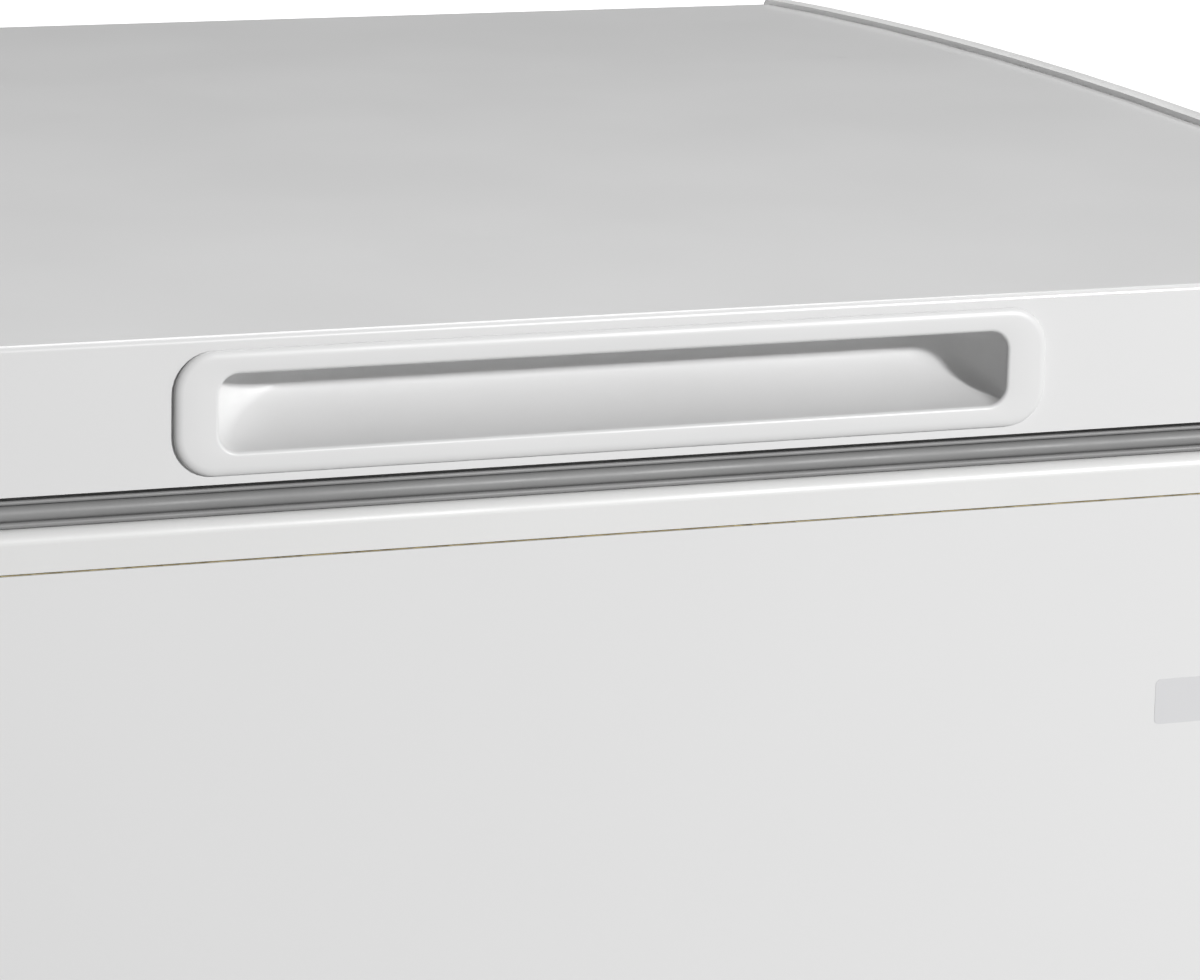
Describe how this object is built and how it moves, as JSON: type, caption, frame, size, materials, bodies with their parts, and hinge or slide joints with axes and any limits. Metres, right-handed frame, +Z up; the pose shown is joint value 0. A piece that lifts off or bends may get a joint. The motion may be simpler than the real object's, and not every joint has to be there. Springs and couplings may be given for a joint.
{
  "type": "chest freezer",
  "caption": "Compact white top-opening chest freezer with recessed lid handle, hinged insulated lid, basket, drain and rear compressor bay.",
  "frame": {"origin": "on the floor, at the middle of the overall width and depth", "axes": "+Z up, front (the handle side) towards -Y, +X to the right seen from the front"},
  "size_m": [0.545, 0.5595, 0.85],
  "materials": {
    "white_enamel": "gloss",
    "white_plastic": "satin",
    "gloss_white": "gloss",
    "foam": "matte",
    "liner_white": "satin",
    "gasket_grey": "satin",
    "magnet": "matte",
    "zinc_steel": "satin",
    "zinc_screw": "satin",
    "spring_steel": "satin",
    "galvanised": "satin",
    "foot_plastic": "matte",
    "liner_metal": "satin",
    "tube_aluminium": "satin",
    "tube_steel": "satin",
    "compressor_black": "gloss",
    "grommet_rubber": "matte",
    "black_plastic": "matte",
    "relay_plastic": "matte",
    "copper": "satin",
    "lamp_green": "gloss",
    "wire_insulation": "satin",
    "basket_vinyl": "satin"
  },
  "bodies": {
    "cabinet": {"hinge_left_body_leaf": "zinc_steel", "hinge_right_body_leaf": "zinc_steel", "hinge_left_spring": "spring_steel", "hinge_right_spring": "spring_steel", "hinge_body_screws": "zinc_screw", "outer_wrap": "white_enamel", "rear_panel": "galvanised", "base_pan": "galvanised", "feet": "foot_plastic", "compartment_panel": "galvanised", "inner_liner": "liner_metal", "basket_ledges": "white_plastic", "cabinet_foam": "foam", "top_collar": "white_plastic", "evaporator_coil": "tube_aluminium", "condenser_tube": "tube_steel", "compressor_shell": "compressor_black", "compressor_rail": "compressor_black", "compressor_grommets": "grommet_rubber", "compressor_bolts": "zinc_screw", "terminal_cover": "black_plastic", "start_relay": "relay_plastic", "filter_drier": "copper", "capillary_tube": "copper", "suction_tube": "copper", "discharge_tube": "copper", "thermostat_body": "galvanised", "thermostat_bulb_tube": "copper", "control_panel": "white_plastic", "power_lamp": "lamp_green", "side_grille": "white_plastic", "rear_cover": "galvanised", "rear_cover_screws": "zinc_screw", "cord_gland": "grommet_rubber", "wiring_harness": "wire_insulation", "drain_tube": "white_plastic"},
    "lid": {"lid_skin": "white_enamel", "lid_cap_left": "white_plastic", "lid_cap_right": "white_plastic", "lid_foam": "foam", "lid_inner_panel": "liner_white", "lid_gasket": "gasket_grey", "gasket_magnet": "magnet", "handle_insert": "gloss_white", "hinge_left_lid_leaf": "zinc_steel", "hinge_right_lid_leaf": "zinc_steel", "hinge_lid_screws": "zinc_screw", "hinge_left_pin": "zinc_screw", "hinge_right_pin": "zinc_screw"},
    "knob": {"thermostat_knob": "gloss_white"},
    "basket": {"basket": "basket_vinyl"},
    "drain_plug": {"inner_drain_plug": "white_plastic"},
    "drain_cap": {"outer_drain_cap": "white_plastic"}
  },
  "joints": [
    {"name": "lid_hinge", "type": "hinge", "parent": "cabinet", "child": "lid", "pos_m": [0, 0.27295, 0.8007], "axis": [-1, 0, 0], "range_deg": [0, 78]},
    {"name": "knob_turn", "type": "hinge", "parent": "cabinet", "child": "knob", "pos_m": [0.208, -0.26355, 0.1086], "axis": [0, -1, 0], "range_deg": [0, 270]},
    {"name": "basket_slide", "type": "slide", "parent": "cabinet", "child": "basket", "axis": [1, 0, 0], "range_m": [0, 0.175]},
    {"name": "drain_plug_pull", "type": "slide", "parent": "cabinet", "child": "drain_plug", "axis": [0, 0, 1], "range_m": [0, 0.03]},
    {"name": "drain_cap_pull", "type": "slide", "parent": "cabinet", "child": "drain_cap", "axis": [0, -1, 0], "range_m": [0, 0.02]}
  ]
}
